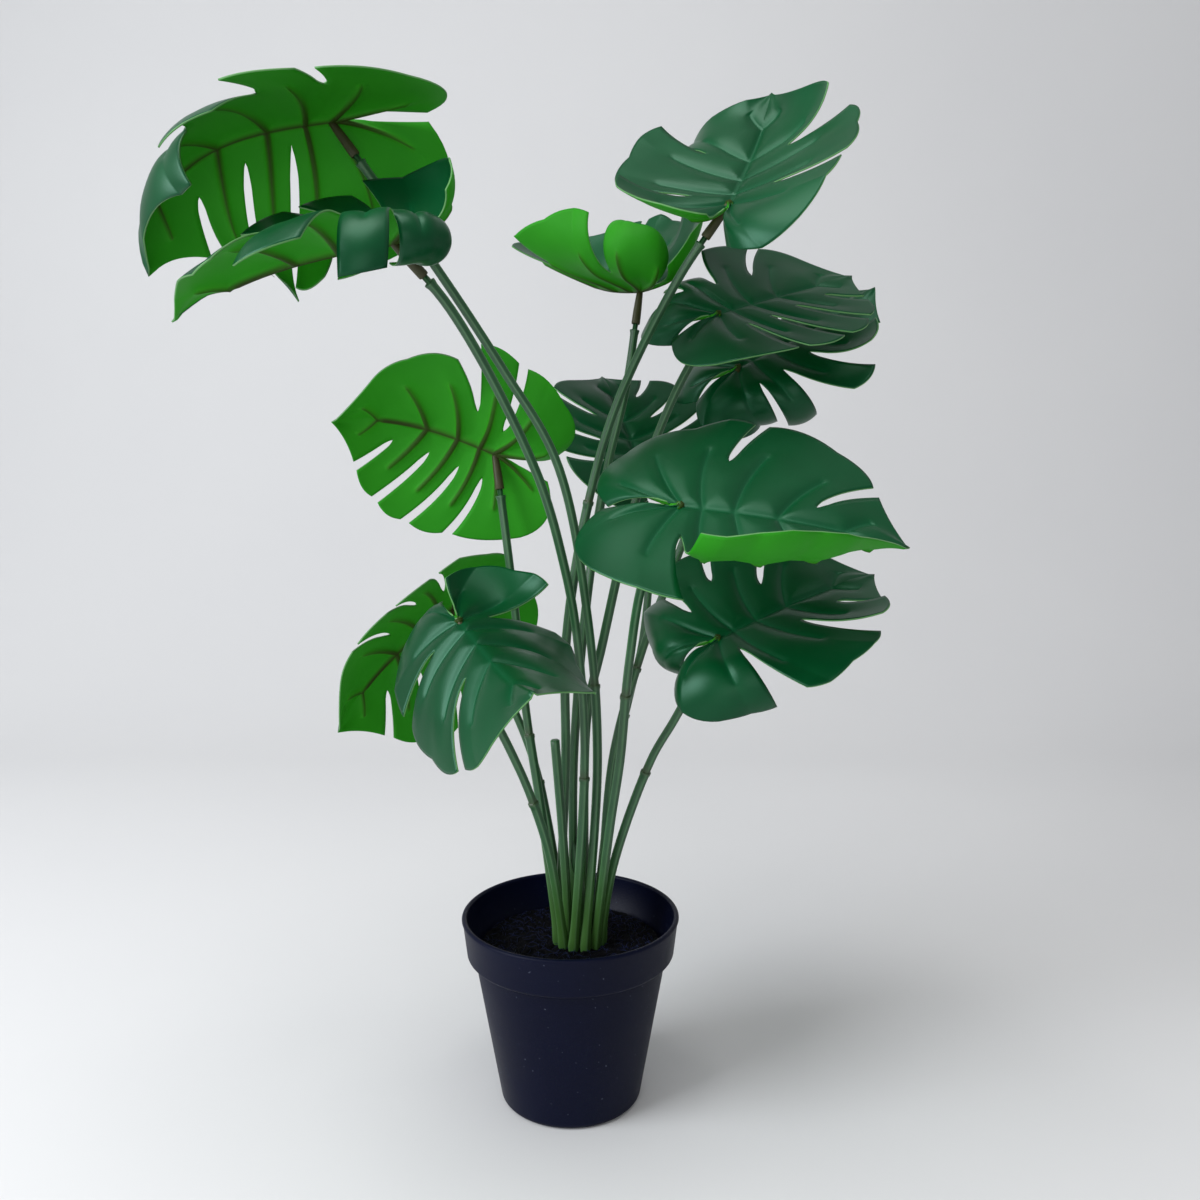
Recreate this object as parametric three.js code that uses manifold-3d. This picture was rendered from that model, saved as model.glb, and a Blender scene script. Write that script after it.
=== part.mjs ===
// Potted artificial monstera: moulded split leaves on jointed stems, a crown with a bud,
// fibre topping, a heavy filler block and a tapered pot with a collar.
// Millimetres, +Z up, origin at the centre of the pot's base, -Y is the front.
import * as THREE from 'three'
import Module from 'manifold-3d'
import { mergeVertices } from 'three/addons/utils/BufferGeometryUtils.js'

const wasm = await Module()
wasm.setup()

const clearance = 0.3
const turn = Math.PI / 180

// pot
const potHeight = 129
const potRimRadius = 72.5
const potBaseRadius = 47.5
const potWall = 3.5
const potFloor = 6
const potEdgeRound = 5
const collarHeight = 27
const collarTaper = 4
const collarStep = 5
const potSides = 40

// soil and filler
const soilDepth = 21
const toppingThickness = 7
const toppingMound = 2

// crown
const crownCentre = [6, 0]
const crownRadius = 4.2
const crownHeight = 48
const crownRootDepth = 40
const budLength = 24
const budRadius = 4.2

// stems
const stemRadius = 2.6
const stemFootRadius = 2.9
// The cut stem stands clear of the crown, and the ring of stems clear of the cut stem.
const cutStemRing = crownRadius + stemFootRadius + 3 * clearance
const stemRing = cutStemRing + 2 * stemFootRadius + 3 * clearance
const stemRootDepth = 32
const stemSides = 6
const stemStep = 45
const jointLength = 3
const neckRadius = 1.7
const neckBare = 4
const flareRadius = 3.2
const flareLength = 4
const cutStemHeight = 142

// leaves
const foliageScale = 1
const bladeThickness = 1.2
const slitWidth = 0.05
const stubRadius = 2.9
const stubLength = 24
const boreDepth = 6

// Each stem starts in its own place of the ring, at this angle from +X, and runs through
// points (x, y, height above the soil) to its leaf. The joint is a share of its length.
// A leaf is set by its heading, the pitch of its rib at the stem and its roll, then shaped by
// the fold and curl of its two sides (right, left) and the bend of its rib and of its base.
// lobes lists how far single lobes curl, from the base lobe to the tip, and slits where a
// leaf's slits start if they differ from those of the flat blade, both as [right, left].
const plant = {
  leaf_top_left: {
    ring: 285, joint: 0.36,
    by: [[18, -20, 132], [12, -28, 226], [-6, -38, 321], [-38, -43, 377], [-80, -47, 441]],
    at: [-133, -50, 514], aim: [184, -8, -10], size: 155, fold: [-50, -4], curl: [-12, -18],
    bend: [-105, -28], lobes: [[10, -30, -40, -20, 0, 10], [0, 0, 0, -10, -30, -10]],
    slits: [[1, 1, 0.5, 0.12, 0.15, 0.3, 1], [1, 1, 0.6, 0.6, 0.6, 1, 1]]
  },
  leaf_upper_left: {
    ring: 255, joint: 0.3,
    by: [[10, -28, 134], [6, -41, 213], [-2, -54, 263], [-17, -72, 318], [-59, -108, 404]],
    at: [-87, -125, 437], aim: [186, -11, 9], size: 120, fold: [18, 28], curl: [10, 0],
    bend: [-30, 25], lobes: [[40, 10, 0, 0, 0, 0], [-112, -116, -60, -30, -20, 0]]
  },
  leaf_mid_left: {
    ring: 195, joint: 0.48, by: [[-20, 0, 98], [-28, 2, 153], [-37, 6, 240], [-44, 10, 298]],
    at: [-48, 14, 326], aim: [176, 22, -58], size: 108, fold: [-16, -8], curl: [0, -20],
    bend: [-62, -15], lobes: [[0, 0, 0, 0, 0, 0], [30, 40, 30, 0, 0, 0]],
    slits: [[1, 1, 0.3, 0.25, 0.25, 0.35, 1], [1, 1, 0.3, 0.38, 1, 1, 1]]
  },
  leaf_low_left_back: {
    ring: 135, joint: 0.5, by: [[-15, 16, 74], [-26, 24, 121], [-46, 32, 167]], at: [-82, 48, 220],
    aim: [195, -36, -60], size: 116, fold: [-22, -15], curl: [0, -50], bend: [-48, -10],
    lobes: [[0, 0, 0, 0, 0, 0], [-15, 0, 0, 0, 0, 0]],
    slits: [[1, 1, 0.28, 0.28, 0.25, 0.35, 1], [1, 1, 0.3, 0.4, 0.3, 1, 1]]
  },
  leaf_low_left_front: {
    ring: 225, joint: 0.5, by: [[-13, -22, 70], [-25, -35, 116], [-36, -46, 147], [-52, -62, 188]],
    at: [-61, -80, 232], aim: [-60, -22, -12], size: 106, fold: [-40, -15], curl: [-30, -30],
    bend: [30, 0], lobes: [[-20, 0, -5, -5, -5, 0], [20, 45, 0, -10, 0, 0]],
    slits: [[1, 1, 0.35, 1, 0.25, 1, 1], [1, 1, 0.3, 1, 1, 1, 1]]
  },
  leaf_top_right: {
    ring: 165, joint: 0.62,
    by: [[-3, 2, 126], [-2, -2, 207], [13, -8, 298], [30, -18, 356], [66, -34, 429]],
    at: [95, -38, 471], aim: [66, 38, -6], size: 112, fold: [20, 8], curl: [5, 5], bend: [20, 45],
    lobes: [[-30, 0, 0, 0, 20, 20], [16, 10, -5, 0, -30, 10]],
    slits: [[1, 1, 0.4, 1, 0.4, 1, 1], [1, 1, 0.35, 1, 0.4, 1, 1]]
  },
  leaf_centre_top: {
    ring: 105, joint: 0.7, by: [[2, 20, 122], [12, 24, 237], [24, 42, 312], [37, 60, 366]],
    at: [47, 72, 434], aim: [125, 4, 0], size: 120, fold: [45, 14], curl: [0, 0], bend: [65, 10],
    lobes: [[30, 15, -10, 0, 0, 0], [60, 75, 50, 10, 0, 0]],
    slits: [[1, 1, 0.5, 1, 0.5, 1, 1], [1, 1, 0.4, 1, 0.5, 1, 1]]
  },
  leaf_upper_right: {
    ring: 75, joint: 0.7, by: [[11, 11, 152], [21, 8, 201], [44, 4, 301], [66, 3, 361]],
    at: [94, 2, 412], aim: [28, 16, -28], size: 108, fold: [5, 5], curl: [-5, 0], bend: [-5, -55],
    lobes: [[0, 0, 0, 0, 0, 0], [-25, -45, -25, 0, 0, 0]]
  },
  leaf_right_back: {
    ring: 15, joint: 0.5, by: [[28, 12, 122], [48, 20, 196], [67, 27, 246], [92, 36, 314]],
    at: [113, 55, 382], aim: [8, 26, -20], size: 106, fold: [-15, 5], curl: [-15, 0], bend: [10, -32],
    lobes: [[-10, -70, -60, 0, 20, 0], [-20, -20, 0, 0, 0, 0]]
  },
  leaf_centre_back: {
    ring: 45, joint: 0.5, by: [[30, 32, 116], [41, 46, 162], [49, 55, 194], [54, 69, 250]],
    at: [47, 85, 317], aim: [110, 45, 0], size: 98, fold: [12, 12], curl: [0, 0], bend: [-20, -10]
  },
  leaf_right_front: {
    ring: 315, joint: 0.62, by: [[26, -25, 90], [32, -40, 138], [37, -62, 204], [46, -84, 262]],
    at: [65, -100, 300], aim: [-9, -6, -22], size: 125, fold: [-15, 14], curl: [10, 0],
    bend: [-15, -5], lobes: [[-10, 0, 42, 48, 48, 40], [-20, -10, 0, 0, 0, 0]],
    slits: [[1, 1, 0.35, 1, 1, 1, 1], [1, 1, 1, 0.5, 1, 0.25, 1]]
  },
  leaf_low_right: {
    ring: 345, joint: 0.6, by: [[28, -12, 57], [52, -29, 135], [66, -37, 163]], at: [91, -55, 218],
    aim: [18, 22, -24], size: 112, fold: [8, 5], curl: [0, 0], bend: [-18, -5],
    lobes: [[-30, -58, -10, 0, 10, 0], [-70, -20, 0, 0, 0, 0]],
    slits: [[1, 1, 0.3, 1, 0.33, 0.45, 1], [1, 1, 0.4, 0.6, 0.35, 1, 1]]
  }
}

// The flat blade, seen from above with its tip along +Y and its stem at the origin, for a
// rib of unit length. Each side has six lobes. edges are the margin points between lobes,
// veins the margin points in the middle of them; slits start at a share of the way out.
const ribRoots = [0, 0, 0.04, 0.15, 0.32, 0.52, 1]
const veinRoots = [0, 0, 0.09, 0.23, 0.42, 0.72]
const bladeSides = [
  {
    sign: 1,
    edges: [[0.035, -0.36], [0.44, -0.33], [0.61, 0.12], [0.625, 0.42], [0.52, 0.67], [0.3, 0.84], [0, 1]],
    veins: [[0.25, -0.44], [0.56, -0.11], [0.655, 0.27], [0.61, 0.56], [0.44, 0.78], [0.13, 0.915]],
    slits: [1, 1, 0.38, 0.33, 0.33, 0.45, 1]
  },
  {
    sign: -1,
    edges: [[0.035, -0.36], [0.45, -0.34], [0.61, -0.02], [0.64, 0.29], [0.53, 0.64], [0.31, 0.83], [0, 1]],
    veins: [[0.26, -0.45], [0.57, -0.2], [0.665, 0.14], [0.63, 0.48], [0.44, 0.76], [0.13, 0.91]],
    slits: [1, 1, 0.5, 0.38, 0.42, 1, 1]
  }
]
const bladeRows = [0, 0.2, 0.4, 0.6, 0.8, 1]
const bladeColumns = [-1, 0, 1]
const veinBow = 0.16
const lobeCurlStart = 0.33

const soilHeight = potHeight - soilDepth
const soilTop = (x, y) => soilHeight + toppingMound * (1 - Math.hypot(x, y) ** 2 / potRimRadius ** 2)

function paint(colour, roughness) {
  return new THREE.MeshStandardMaterial({ color: colour, roughness, metalness: 0 })
}

const materials = {
  pot: paint(0x1a1f2c, 0.5),
  filler: paint(0x8d8a83, 0.95),
  soil: paint(0x16130f, 1),
  stem: paint(0x3f7a45, 0.5),
  leaf: paint(0x17503a, 0.4)
}

// ---- solids ----

function weld(geometry) {
  geometry.deleteAttribute('normal')
  geometry.deleteAttribute('uv')
  return mergeVertices(geometry, 1e-4)
}

function solid(geometry) {
  const vertProperties = new Float32Array(geometry.attributes.position.array)
  const triVerts = new Uint32Array(geometry.index.array)
  return new wasm.Manifold(new wasm.Mesh({ numProp: 3, vertProperties, triVerts }))
}

function fromSolid(manifold) {
  const { vertProperties, triVerts } = manifold.getMesh()
  const geometry = new THREE.BufferGeometry()
  geometry.setAttribute('position', new THREE.BufferAttribute(new Float32Array(vertProperties), 3))
  geometry.setIndex(new THREE.BufferAttribute(new Uint32Array(triVerts), 1))
  return geometry
}

function lathe(profile, sides) {
  const geometry = new THREE.LatheGeometry(profile.map(([r, z]) => new THREE.Vector2(r, z)), sides)
  geometry.rotateX(Math.PI / 2)
  return weld(geometry)
}

// A round bar along a curve: stations are [distance along the curve, radius].
function sweep(curve, stations, sides) {
  const length = curve.getLength()
  const positions = []
  const index = []
  let side = new THREE.Vector3(1, 0, 0)
  for (const [distance, radius] of stations) {
    const share = THREE.MathUtils.clamp(distance / length, 0, 1)
    const tangent = curve.getTangentAt(share)
    const centre = curve.getPointAt(share).addScaledVector(tangent, distance - share * length)
    side = side.clone().addScaledVector(tangent, -side.dot(tangent)).normalize()
    const up = tangent.clone().cross(side)
    for (let i = 0; i < sides; i++) {
      const angle = 2 * Math.PI * i / sides
      const point = centre.clone()
        .addScaledVector(side, radius * Math.cos(angle))
        .addScaledVector(up, radius * Math.sin(angle))
      positions.push(point.x, point.y, point.z)
    }
  }
  for (let ring = 0; ring < stations.length - 1; ring++) {
    for (let i = 0; i < sides; i++) {
      const a = ring * sides + i
      const b = ring * sides + (i + 1) % sides
      index.push(a, b, b + sides, a, b + sides, a + sides)
    }
  }
  const last = (stations.length - 1) * sides
  for (let i = 1; i < sides - 1; i++) {
    index.push(0, i + 1, i)
    index.push(last, last + i, last + i + 1)
  }
  const geometry = new THREE.BufferGeometry()
  geometry.setAttribute('position', new THREE.Float32BufferAttribute(positions, 3))
  geometry.setIndex(index)
  return geometry
}

// ---- pot, filler, topping ----

const potBodyTop = potHeight - collarHeight
const bodyTopRadius = potRimRadius - collarTaper - collarStep
const insideRadius = z => potBaseRadius - potWall
  + (bodyTopRadius - potBaseRadius) * Math.min(z / potBodyTop, 1)

function arc(cx, cz, radius, from, to, steps) {
  const points = []
  for (let i = 0; i <= steps; i++) {
    const angle = (from + (to - from) * i / steps) * turn
    points.push([cx + radius * Math.cos(angle), cz + radius * Math.sin(angle)])
  }
  return points
}

function pot() {
  const lip = potWall / 2
  const outside = [
    [0, 0],
    ...arc(potBaseRadius - potEdgeRound, potEdgeRound, potEdgeRound, -90, -5, 4),
    [bodyTopRadius, potBodyTop],
    ...arc(bodyTopRadius + collarStep / 2, potBodyTop + collarStep / 2, collarStep / 2, -90, -20, 3),
    [potRimRadius - 0.5, potHeight - lip],
    ...arc(potRimRadius - lip, potHeight - lip, lip, 20, 160, 4)
  ]
  const inside = [
    [potRimRadius - potWall - collarTaper, potBodyTop + collarStep],
    [insideRadius(potBodyTop), potBodyTop - clearance],
    [insideRadius(potFloor), potFloor],
    [0, potFloor]
  ]
  return lathe([...outside, ...inside], potSides)
}

// Blind holes and through holes for everything that stands in the filler.
function rootHoles(radiusGap, depthGap) {
  return roots.map(({ x, y, radius, depth }) => {
    const sides = 8
    const open = (radius + radiusGap) / Math.cos(Math.PI / sides)
    const foot = soilHeight - depth - depthGap
    const height = potHeight - foot
    const hole = new THREE.CylinderGeometry(open, open, height, sides)
    hole.rotateX(Math.PI / 2)
    hole.translate(x, y, foot + height / 2)
    return solid(weld(hole))
  })
}

function cutRoots(geometry) {
  const holes = rootHoles(clearance, clearance)
  return fromSolid(holes.reduce((body, hole) => body.subtract(hole), solid(geometry)))
}

function filler() {
  const foot = potFloor + clearance
  const top = Math.min(soilHeight - toppingThickness, potBodyTop - clearance)
  return cutRoots(lathe([
    [0, foot],
    [insideRadius(foot) - clearance, foot],
    [insideRadius(top) - clearance, top],
    [0, top]
  ], potSides))
}

function topping() {
  const foot = Math.min(soilHeight - toppingThickness, potBodyTop - clearance) + clearance
  const edge = insideRadius(foot) - clearance
  const steps = [1, 0.75, 0.5, 0.25]
  return cutRoots(lathe([
    [0, foot],
    [edge, foot],
    ...steps.map(share => [edge * share, soilTop(edge * share, 0)]),
    [0, soilTop(0, 0)]
  ], potSides))
}

// ---- crown ----

function crown() {
  const [x, y] = crownCentre
  const trunk = new THREE.LineCurve3(
    new THREE.Vector3(x, y, soilHeight - crownRootDepth),
    new THREE.Vector3(x, y, soilHeight + crownHeight)
  )
  const height = crownRootDepth + crownHeight
  const trunkStations = [
    [0, crownRadius],
    [crownRootDepth + 10, crownRadius],
    [height - 12, crownRadius * 0.85],
    [height, crownRadius * 0.55]
  ]
  const bud = new THREE.LineCurve3(
    new THREE.Vector3(x, y, soilHeight + crownHeight - budRadius),
    new THREE.Vector3(x - budLength * 0.2, y - budLength * 0.1, soilHeight + crownHeight + budLength)
  )
  const budSpan = bud.getLength()
  const budStations = [0.02, 0.15, 0.35, 0.6, 0.85, 1].map(share => {
    const width = Math.sin(Math.PI * share ** 0.8) * (1 - 0.2 * share)
    return [budSpan * share, Math.max(budRadius * width, 0.5)]
  })
  return fromSolid(solid(sweep(trunk, trunkStations, 12)).add(solid(sweep(bud, budStations, 12))))
}

// ---- stems ----

function ringPlace(angle, radius) {
  return [
    crownCentre[0] + radius * Math.cos(angle * turn),
    crownCentre[1] + radius * Math.sin(angle * turn)
  ]
}

const roots = [{ x: crownCentre[0], y: crownCentre[1], radius: crownRadius, depth: crownRootDepth }]

function stemCurve({ ring, by, at }) {
  const [x, y] = ringPlace(ring, stemRing)
  roots.push({ x, y, radius: stemFootRadius, depth: stemRootDepth })
  const above = ([px, py, height]) =>
    new THREE.Vector3(px * foliageScale, py * foliageScale, soilHeight + height * foliageScale)
  const foot = [-stemRootDepth, -stemRootDepth / 2, 0, toppingMound + clearance]
  return new THREE.CatmullRomCurve3([
    ...foot.map(height => new THREE.Vector3(x, y, soilHeight + height)),
    ...by.map(above),
    above(at)
  ], false, 'centripetal')
}

function stem(curve, joint) {
  const length = curve.getLength()
  const end = length - stubLength
  const jointAt = joint * length
  const stations = [[0, stemFootRadius]]
  const run = (from, to, radius) => {
    const steps = Math.max(1, Math.ceil((to - from) / stemStep))
    for (let i = 1; i <= steps; i++) {
      stations.push([from + (to - from) * i / steps, radius])
    }
  }
  run(0, stemRootDepth + toppingMound, stemFootRadius)
  run(stemRootDepth + toppingMound, jointAt, stemFootRadius)
  stations.push([jointAt + 1, stemFootRadius * 1.15], [jointAt + jointLength, stemFootRadius * 1.15])
  stations.push([jointAt + jointLength + 1, stemRadius])
  run(jointAt + jointLength + 1, end - neckBare - flareLength, stemRadius)
  stations.push([end - neckBare - 1, flareRadius], [end - neckBare, flareRadius * 0.9])
  stations.push([end - neckBare + 0.5, neckRadius], [end + boreDepth - clearance, neckRadius])
  return sweep(curve, stations, stemSides)
}

function cutStem() {
  const [x, y] = ringPlace(200, cutStemRing)
  roots.push({ x, y, radius: stemFootRadius, depth: stemRootDepth })
  const curve = new THREE.CatmullRomCurve3([
    ...[-stemRootDepth, 0, 8].map(height => new THREE.Vector3(x, y, soilHeight + height)),
    new THREE.Vector3(x - 3, y - 2, soilHeight + cutStemHeight / 2),
    new THREE.Vector3(x - 8, y - 6, soilHeight + cutStemHeight)
  ], false, 'centripetal')
  const length = curve.getLength()
  const steps = 6
  const stations = Array.from({ length: steps + 1 }, (_, i) => [length * i / steps, stemFootRadius])
  return sweep(curve, stations, stemSides)
}

// ---- leaves ----

// A curved line of the blade from the rib to the margin, at share b of the way out.
function bladeLine(root, [mx, my], b, bow) {
  const dx = mx
  const dy = my - root
  const cx = dx / 2 + bow * dy
  const cy = root + dy / 2 - bow * dx
  return [
    2 * b * (1 - b) * cx + b * b * mx,
    (1 - b) ** 2 * root + 2 * b * (1 - b) * cy + b * b * my
  ]
}

function slitOpening(b, start) {
  if (start >= 1 || b <= start) return 0
  const out = (b - start) / (1 - start)
  return slitWidth * Math.sqrt(Math.min(out * 6, 1)) * (0.55 + 0.75 * out)
}

// One column of a lobe: flat points from rib to margin at place s between its edges (-1 to 1).
function lobeColumn(side, lobe, s) {
  return bladeRows.map(b => {
    const vein = bladeLine(veinRoots[lobe], side.veins[lobe], b, veinBow)
    const edges = [lobe, lobe + 1].map(edge => {
      const bow = edge === 0 ? -0.03 : veinBow
      const [x, y] = bladeLine(ribRoots[edge], side.edges[edge], b, bow)
      const gap = slitOpening(b, side.slits[edge]) / 2
      const tx = vein[0] - x
      const ty = vein[1] - y
      const reach = Math.hypot(tx, ty) || 1
      const share = Math.min(gap / reach, 0.4)
      return [x + tx * share, y + ty * share]
    })
    const weights = [s * (s - 1) / 2, 1 - s * s, s * (s + 1) / 2]
    return [0, 1].map(i => weights[0] * edges[0][i] + weights[1] * vein[i] + weights[2] * edges[1][i])
  })
}

const sinc = angle => Math.abs(angle) < 1e-6 ? 1 : Math.sin(angle) / angle

// Curls one lobe's column up or down along its own length, by an angle in degrees.
function curlColumn(column, angle) {
  const [x0, y0] = column[0]
  const [x1, y1] = column.at(-1)
  const chord = Math.hypot(x1 - x0, y1 - y0) || 1
  const ux = (x1 - x0) / chord
  const uy = (y1 - y0) / chord
  const share = b => THREE.MathUtils.clamp((b - lobeCurlStart) / (1 - lobeCurlStart), 0, 1)
  const points = [[x0, y0, 0]]
  for (let j = 1; j < column.length; j++) {
    const slope = angle * turn * (share(bladeRows[j]) + share(bladeRows[j - 1]))
    const dx = column[j][0] - column[j - 1][0]
    const dy = column[j][1] - column[j - 1][1]
    const along = dx * ux + dy * uy
    const [px, py, pz] = points[j - 1]
    const loss = along * (1 - Math.cos(slope))
    points.push([px + dx - ux * loss, py + dy - uy * loss, pz + along * Math.sin(slope)])
  }
  return points
}

// Folds a side up about the rib, curls it across, then bends it along the rib.
function bendBlade([x, y, z], leaf, sign) {
  const pick = sign > 0 ? 0 : 1
  const width = Math.abs(x)
  const fold = leaf.fold[pick] * turn
  const halfCurl = leaf.curl[pick] * turn * width / 2
  const radius = width * sinc(halfCurl)
  const lean = fold + 2 * halfCurl
  const px = sign * (radius * Math.cos(fold + halfCurl) - z * Math.sin(lean))
  const pz = radius * Math.sin(fold + halfCurl) + z * Math.cos(lean)
  const { reach, rise, tilt } = ribCurve(y, leaf.bend)
  return [px, reach - pz * Math.sin(tilt), rise + pz * Math.cos(tilt)]
}

// The rib turns more and more towards its tip; the base lobes turn evenly.
function ribCurve(y, [bendAhead, bendBehind]) {
  if (y < 0) {
    const halfBend = bendBehind * turn * -y / 2
    const chord = -y * sinc(halfBend)
    return { reach: -chord * Math.cos(halfBend), rise: chord * Math.sin(halfBend), tilt: -2 * halfBend }
  }
  const steps = 12
  let reach = 0
  let rise = 0
  for (let step = 0; step < steps; step++) {
    const angle = bendAhead * turn * (y * (step + 0.5) / steps) ** 2
    reach += y / steps * Math.cos(angle)
    rise += y / steps * Math.sin(angle)
  }
  return { reach, rise, tilt: bendAhead * turn * y ** 2 }
}

// Places a blade point of unit size in the plant.
function leafPlace(leaf) {
  const [heading, pitch, roll] = leaf.aim.map(angle => angle * turn)
  const tip = new THREE.Vector3(
    Math.cos(heading) * Math.cos(pitch), Math.sin(heading) * Math.cos(pitch), Math.sin(pitch)
  )
  const level = new THREE.Vector3(Math.sin(heading), -Math.cos(heading), 0)
  const right = level.applyAxisAngle(tip, -roll)
  const top = right.clone().cross(tip)
  const [x, y, height] = leaf.at.map(value => value * foliageScale)
  const matrix = new THREE.Matrix4().makeBasis(right, tip, top)
  matrix.scale(new THREE.Vector3().setScalar(leaf.size * foliageScale))
  return matrix.setPosition(x, y, soilHeight + height)
}

// The blade as a surface: shared points where lobes join, separate ones across a slit.
function bladeSurface(leaf) {
  const places = new Map()
  const faces = []
  const name = (side, lobe, row, column) => {
    if (column === 0 && lobe === 0) column = bladeColumns.length - 1
    const atEdge = column === bladeColumns.length - 1 || column === 0
    const edge = column === 0 ? lobe : lobe + 1
    if (row === 0) {
      if (lobe === 0) return 'stem'
      return atEdge ? (edge === 1 ? 'stem' : `rib ${edge}`) : `rib ${lobe} ${column}`
    }
    if (atEdge && edge === 6) return 'rib 6'
    const open = bladeRows[row] > side.slits[edge] || edge === 0
    if (atEdge && !open) return `${side.sign} edge ${edge} ${row}`
    return `${side.sign} ${lobe} ${column} ${row}`
  }
  for (const flat of bladeSides) {
    const side = leaf.slits ? { ...flat, slits: leaf.slits[flat.sign > 0 ? 0 : 1] } : flat
    for (let lobe = 0; lobe < 6; lobe++) {
      const keys = bladeColumns.map((s, column) => {
        const curls = leaf.lobes ? leaf.lobes[side.sign > 0 ? 0 : 1] : [0, 0, 0, 0, 0, 0]
        const neighbour = s < 0 ? lobe - 1 : lobe + 1
        const joined = s !== 0 && side.slits[s < 0 ? lobe : lobe + 1] >= 1 && neighbour >= 0 && neighbour < 6
        const angle = joined ? (curls[lobe] + curls[neighbour]) / 2 : curls[lobe]
        return curlColumn(lobeColumn(side, lobe, s), angle).map(([x, y, z], row) => {
          const key = s === -1 && lobe === 0 && row > 0
            ? `${side.sign} sinus ${row}`
            : name(side, lobe, row, column)
          const place = bendBlade([side.sign * x, y, z], leaf, side.sign)
          if (!places.has(key)) places.set(key, [])
          places.get(key).push(place)
          return key
        })
      })
      for (let column = 0; column < bladeColumns.length - 1; column++) {
        for (let row = 0; row < bladeRows.length - 1; row++) {
          const quad = [
            keys[column][row], keys[column][row + 1], keys[column + 1][row + 1], keys[column + 1][row]
          ]
          if (side.sign < 0) quad.reverse()
          faces.push([quad[0], quad[1], quad[2]], [quad[0], quad[2], quad[3]])
        }
      }
    }
  }
  const matrix = leafPlace(leaf)
  const order = [...places.keys()]
  const points = order.map(key => {
    const mean = new THREE.Vector3()
    places.get(key).forEach(place => mean.add(new THREE.Vector3(...place)))
    return mean.divideScalar(places.get(key).length).applyMatrix4(matrix)
  })
  const triangles = faces
    .map(face => face.map(key => order.indexOf(key)))
    .filter(([a, b, c]) => a !== b && b !== c && c !== a)
  return { points, triangles }
}

// Gives a surface thickness: a face on each side and a rim around its margin.
function thicken({ points, triangles }, thickness) {
  const normals = points.map(() => new THREE.Vector3())
  for (const [a, b, c] of triangles) {
    const normal = points[b].clone().sub(points[a]).cross(points[c].clone().sub(points[a])).normalize()
    for (const corner of [a, b, c]) normals[corner].add(normal)
  }
  const positions = []
  for (const side of [0.5, -0.5]) {
    points.forEach((point, i) => {
      const moved = point.clone().addScaledVector(normals[i].normalize(), side * thickness)
      positions.push(moved.x, moved.y, moved.z)
    })
  }
  const count = points.length
  const index = []
  const edges = new Map()
  for (const [a, b, c] of triangles) {
    index.push(a, b, c, a + count, c + count, b + count)
    for (const [from, to] of [[a, b], [b, c], [c, a]]) edges.set(`${from} ${to}`, [from, to])
  }
  for (const [from, to] of edges.values()) {
    if (edges.has(`${to} ${from}`)) continue
    index.push(from, from + count, to + count, from, to + count, to)
  }
  const geometry = new THREE.BufferGeometry()
  geometry.setAttribute('position', new THREE.Float32BufferAttribute(positions, 3))
  geometry.setIndex(index)
  return geometry
}

function leaf(settings, curve) {
  const length = curve.getLength()
  const end = length - stubLength
  const stub = sweep(curve, [
    [end, stubRadius],
    [end + boreDepth + 2, stubRadius],
    [length - stubRadius * 2, stubRadius * 0.9],
    [length, stubRadius * 0.45]
  ], stemSides)
  const hole = (neckRadius + clearance) / Math.cos(Math.PI / stemSides)
  const bore = sweep(curve, [[end - 2, hole], [end + boreDepth, hole]], stemSides)
  const blade = solid(thicken(bladeSurface(settings), bladeThickness))
  return fromSolid(blade.add(solid(stub)).subtract(solid(bore)))
}

// ---- the whole plant ----

const group = new THREE.Group()

function add(name, geometry, material) {
  const mesh = new THREE.Mesh(geometry, material)
  mesh.name = name
  group.add(mesh)
}

for (const [name, settings] of Object.entries(plant)) {
  const curve = stemCurve(settings)
  add(name.replace('leaf', 'stem'), stem(curve, settings.joint), materials.stem)
  add(name, leaf(settings, curve), materials.leaf)
}
add('stem_cut', cutStem(), materials.stem)
add('crown', crown(), materials.stem)
add('soil_topping', topping(), materials.soil)
add('filler', filler(), materials.filler)
add('pot', pot(), materials.pot)

export default group
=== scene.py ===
import math
import random
import bpy
import numpy as np
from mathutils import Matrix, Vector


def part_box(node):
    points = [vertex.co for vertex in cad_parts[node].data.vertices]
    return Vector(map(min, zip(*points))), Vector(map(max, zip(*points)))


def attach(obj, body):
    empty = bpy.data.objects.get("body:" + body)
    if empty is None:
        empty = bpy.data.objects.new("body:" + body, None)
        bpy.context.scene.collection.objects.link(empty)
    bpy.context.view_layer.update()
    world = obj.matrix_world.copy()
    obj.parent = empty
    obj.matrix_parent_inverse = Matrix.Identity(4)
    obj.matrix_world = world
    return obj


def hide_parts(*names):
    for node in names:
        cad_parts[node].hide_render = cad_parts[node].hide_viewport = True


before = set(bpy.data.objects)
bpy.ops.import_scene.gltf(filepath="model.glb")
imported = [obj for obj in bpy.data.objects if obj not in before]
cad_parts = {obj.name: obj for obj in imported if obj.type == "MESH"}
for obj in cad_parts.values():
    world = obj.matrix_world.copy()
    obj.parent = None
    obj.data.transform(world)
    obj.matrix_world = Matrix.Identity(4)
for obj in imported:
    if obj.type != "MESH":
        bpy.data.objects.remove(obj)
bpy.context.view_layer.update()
mm = 0.001  # the plant's sizes are in millimetres
print("frame loaded")


def clearSelection():
    if bpy.context.object and bpy.context.object.mode != "OBJECT":
        bpy.ops.object.mode_set(mode="OBJECT")
    bpy.ops.object.select_all(action="DESELECT")


def rgb(red, green, blue):
    # screen colour 0-255 to the linear colour that shaders use
    return tuple((v / 255) ** 2.2 for v in (red, green, blue)) + (1.0,)


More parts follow.
